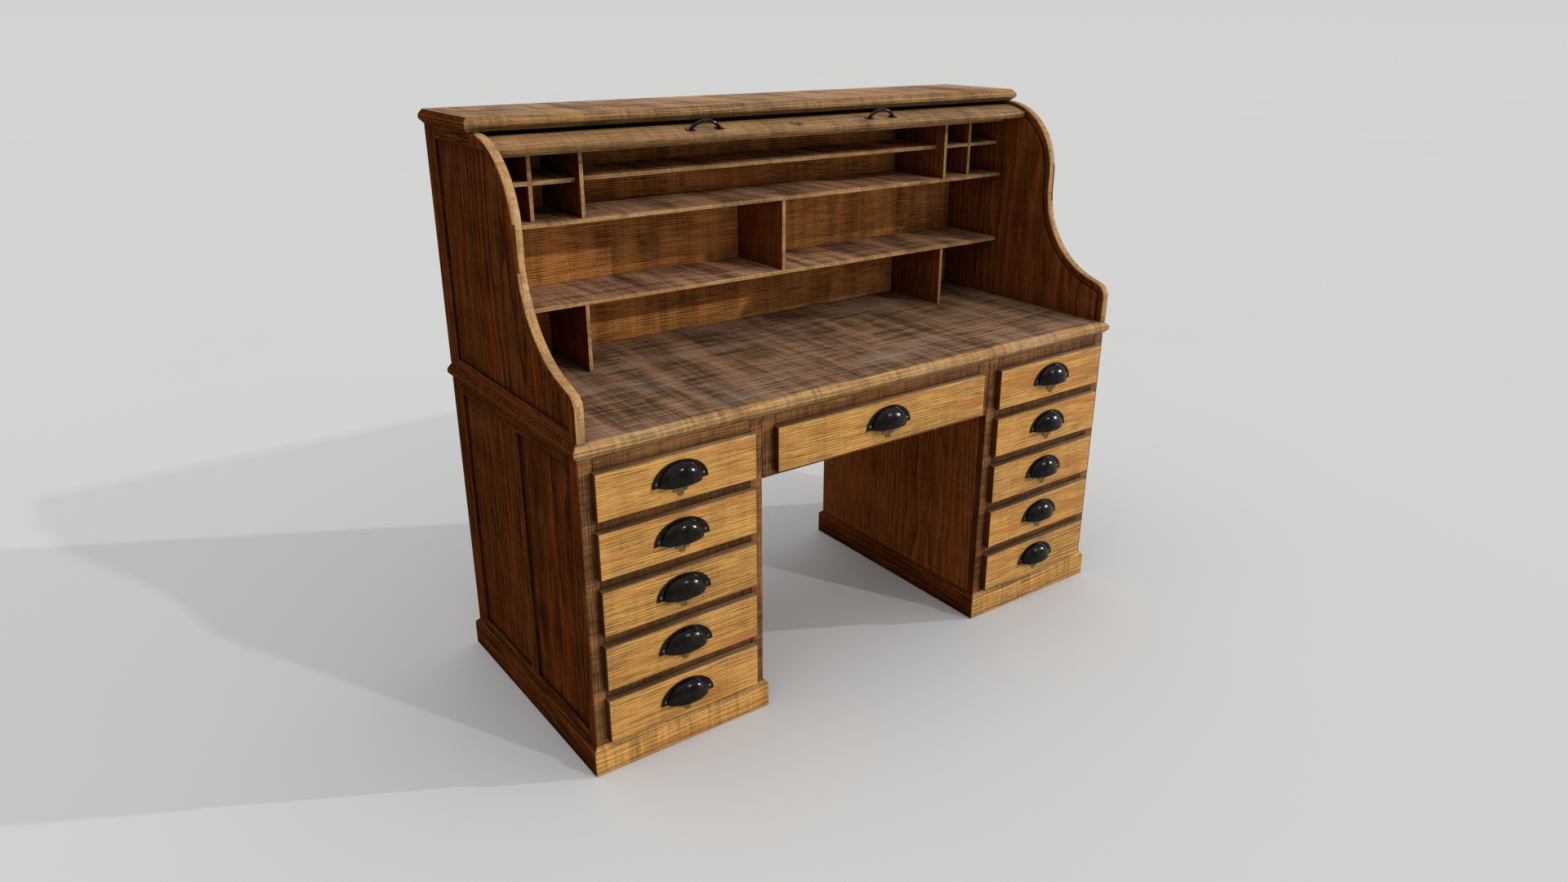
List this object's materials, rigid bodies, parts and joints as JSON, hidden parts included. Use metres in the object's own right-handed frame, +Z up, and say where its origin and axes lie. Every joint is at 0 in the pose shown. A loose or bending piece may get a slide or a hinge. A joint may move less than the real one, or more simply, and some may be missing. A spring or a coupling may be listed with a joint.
{
  "type": "roll top desk",
  "caption": "Double-pedestal roll top desk with S-sided gallery, open pigeonholes, a sliding slatted curtain, kneehole drawer and two banks of drawers with cup pulls.",
  "frame": {"origin": "on the floor, at the middle of the desk's whole footprint with its pulls", "axes": "+X across the desk to the sitter's right, +Y to the back, +Z up"},
  "size_m": [1.584, 0.711, 1.336],
  "materials": {
    "oak_carcass": "waxed, worn and darkened with age",
    "oak_drawer": "waxed golden oak",
    "oak_top": "worn, dull wax",
    "oak_curtain": "waxed",
    "secondary_wood": "bare, aged",
    "japanned_iron": "gloss black japan",
    "aged_brass": "tarnished",
    "canvas": "glued canvas"
  },
  "bodies": {
    "desk": {"centre_dust_board": "secondary_wood", "crown_top": "oak_carcass", "curtain_canvas": "canvas", "curtain_rear_slats": "oak_curtain", "drawer_runners": "secondary_wood", "gallery_back_frame": "oak_carcass", "gallery_back_panels": "secondary_wood", "gallery_frame_left": "oak_carcass", "gallery_frame_right": "oak_carcass", "gallery_side_left": "oak_carcass", "gallery_side_right": "oak_carcass", "kneehole_face_frame": "oak_carcass", "kneehole_rear_rail": "oak_carcass", "pedestal_backs": "secondary_wood", "pedestal_left_face_frame": "oak_carcass", "pedestal_left_inner_side": "oak_carcass", "pedestal_left_plinth": "oak_carcass", "pedestal_left_side_frame": "oak_carcass", "pedestal_left_side_panels": "oak_carcass", "pedestal_right_face_frame": "oak_carcass", "pedestal_right_inner_side": "oak_carcass", "pedestal_right_plinth": "oak_carcass", "pedestal_right_side_frame": "oak_carcass", "pedestal_right_side_panels": "oak_carcass", "pigeonhole_back": "oak_carcass", "pigeonhole_dividers": "oak_carcass", "pigeonhole_half_shelves": "oak_carcass", "pigeonhole_shelves": "oak_carcass", "writing_top": "oak_top"},
    "drawer_left_1_body": {"drawer_left_1": "oak_drawer", "pull_left_1": "japanned_iron"},
    "drawer_left_2_body": {"drawer_left_2": "oak_drawer", "pull_left_2": "japanned_iron"},
    "drawer_left_3_body": {"drawer_left_3": "oak_drawer", "pull_left_3": "japanned_iron"},
    "drawer_left_4_body": {"drawer_left_4": "oak_drawer", "pull_left_4": "japanned_iron"},
    "drawer_left_5_body": {"drawer_left_5": "oak_drawer", "pull_left_5": "japanned_iron"},
    "drawer_right_1_body": {"drawer_right_1": "oak_drawer", "pull_right_1": "japanned_iron"},
    "drawer_right_2_body": {"drawer_right_2": "oak_drawer", "pull_right_2": "japanned_iron"},
    "drawer_right_3_body": {"drawer_right_3": "oak_drawer", "pull_right_3": "japanned_iron"},
    "drawer_right_4_body": {"drawer_right_4": "oak_drawer", "pull_right_4": "japanned_iron"},
    "drawer_right_5_body": {"drawer_right_5": "oak_drawer", "pull_right_5": "japanned_iron"},
    "drawer_centre_body": {"drawer_centre": "oak_drawer", "pull_centre": "japanned_iron"},
    "lead_rail_body": {"lead_rail": "oak_curtain", "lead_rail_pulls": "japanned_iron", "lead_rail_lock": "aged_brass"},
    "slats_1_body": {"curtain_slats_1": "oak_curtain"},
    "slats_2_body": {"curtain_slats_2": "oak_curtain"},
    "slats_3_body": {"curtain_slats_3": "oak_curtain"},
    "slats_4_body": {"curtain_slats_4": "oak_curtain"},
    "slats_5_body": {"curtain_slats_5": "oak_curtain"}
  },
  "joints": [
    {"name": "drawer_left_1_slide", "type": "slide", "parent": "desk", "child": "drawer_left_1_body", "axis": [0, -1, 0], "range_m": [0, 0.4]},
    {"name": "drawer_left_2_slide", "type": "slide", "parent": "desk", "child": "drawer_left_2_body", "axis": [0, -1, 0], "range_m": [0, 0.4]},
    {"name": "drawer_left_3_slide", "type": "slide", "parent": "desk", "child": "drawer_left_3_body", "axis": [0, -1, 0], "range_m": [0, 0.4]},
    {"name": "drawer_left_4_slide", "type": "slide", "parent": "desk", "child": "drawer_left_4_body", "axis": [0, -1, 0], "range_m": [0, 0.4]},
    {"name": "drawer_left_5_slide", "type": "slide", "parent": "desk", "child": "drawer_left_5_body", "axis": [0, -1, 0], "range_m": [0, 0.4]},
    {"name": "drawer_right_1_slide", "type": "slide", "parent": "desk", "child": "drawer_right_1_body", "axis": [0, -1, 0], "range_m": [0, 0.4]},
    {"name": "drawer_right_2_slide", "type": "slide", "parent": "desk", "child": "drawer_right_2_body", "axis": [0, -1, 0], "range_m": [0, 0.4]},
    {"name": "drawer_right_3_slide", "type": "slide", "parent": "desk", "child": "drawer_right_3_body", "axis": [0, -1, 0], "range_m": [0, 0.4]},
    {"name": "drawer_right_4_slide", "type": "slide", "parent": "desk", "child": "drawer_right_4_body", "axis": [0, -1, 0], "range_m": [0, 0.4]},
    {"name": "drawer_right_5_slide", "type": "slide", "parent": "desk", "child": "drawer_right_5_body", "axis": [0, -1, 0], "range_m": [0, 0.4]},
    {"name": "drawer_centre_slide", "type": "slide", "parent": "desk", "child": "drawer_centre_body", "axis": [0, -1, 0], "range_m": [0, 0.4]},
    {"name": "curtain_roll", "type": "hinge", "parent": "desk", "child": "lead_rail_body", "pos_m": [0, 0.0835, 1.1275], "axis": [1, 0, 0], "range_deg": [0, 62.5]},
    {"name": "slats_1_roll", "type": "hinge", "parent": "desk", "child": "slats_1_body", "pos_m": [0, 0.0933, 1.10885], "axis": [1, 0, 0], "range_deg": [0, 55.49]},
    {"name": "slats_2_roll", "type": "hinge", "parent": "desk", "child": "slats_2_body", "pos_m": [0, 0.1119, 1.05358], "axis": [1, 0, 0], "range_deg": [0, 42.08]},
    {"name": "slats_3_roll", "type": "hinge", "parent": "desk", "child": "slats_3_body", "pos_m": [0, 0.1305, 0.94329], "axis": [1, 0, 0], "range_deg": [0, 28.68]},
    {"name": "slats_4_roll", "type": "hinge", "parent": "desk", "child": "slats_4_body", "pos_m": [0, 0.1491, 0.63657], "axis": [1, 0, 0], "range_deg": [0, 15.27]},
    {"name": "slats_5_roll", "type": "hinge", "parent": "desk", "child": "slats_5_body", "pos_m": [0, 0.1677, -4.18247], "axis": [1, 0, 0], "range_deg": [0, 1.87]}
  ],
  "couplings": [
    {"joint": "slats_1_roll", "follows": "curtain_roll", "ratio": 0.88699},
    {"joint": "slats_2_roll", "follows": "curtain_roll", "ratio": 0.67251},
    {"joint": "slats_3_roll", "follows": "curtain_roll", "ratio": 0.45803},
    {"joint": "slats_4_roll", "follows": "curtain_roll", "ratio": 0.24355},
    {"joint": "slats_5_roll", "follows": "curtain_roll", "ratio": 0.029071}
  ]
}
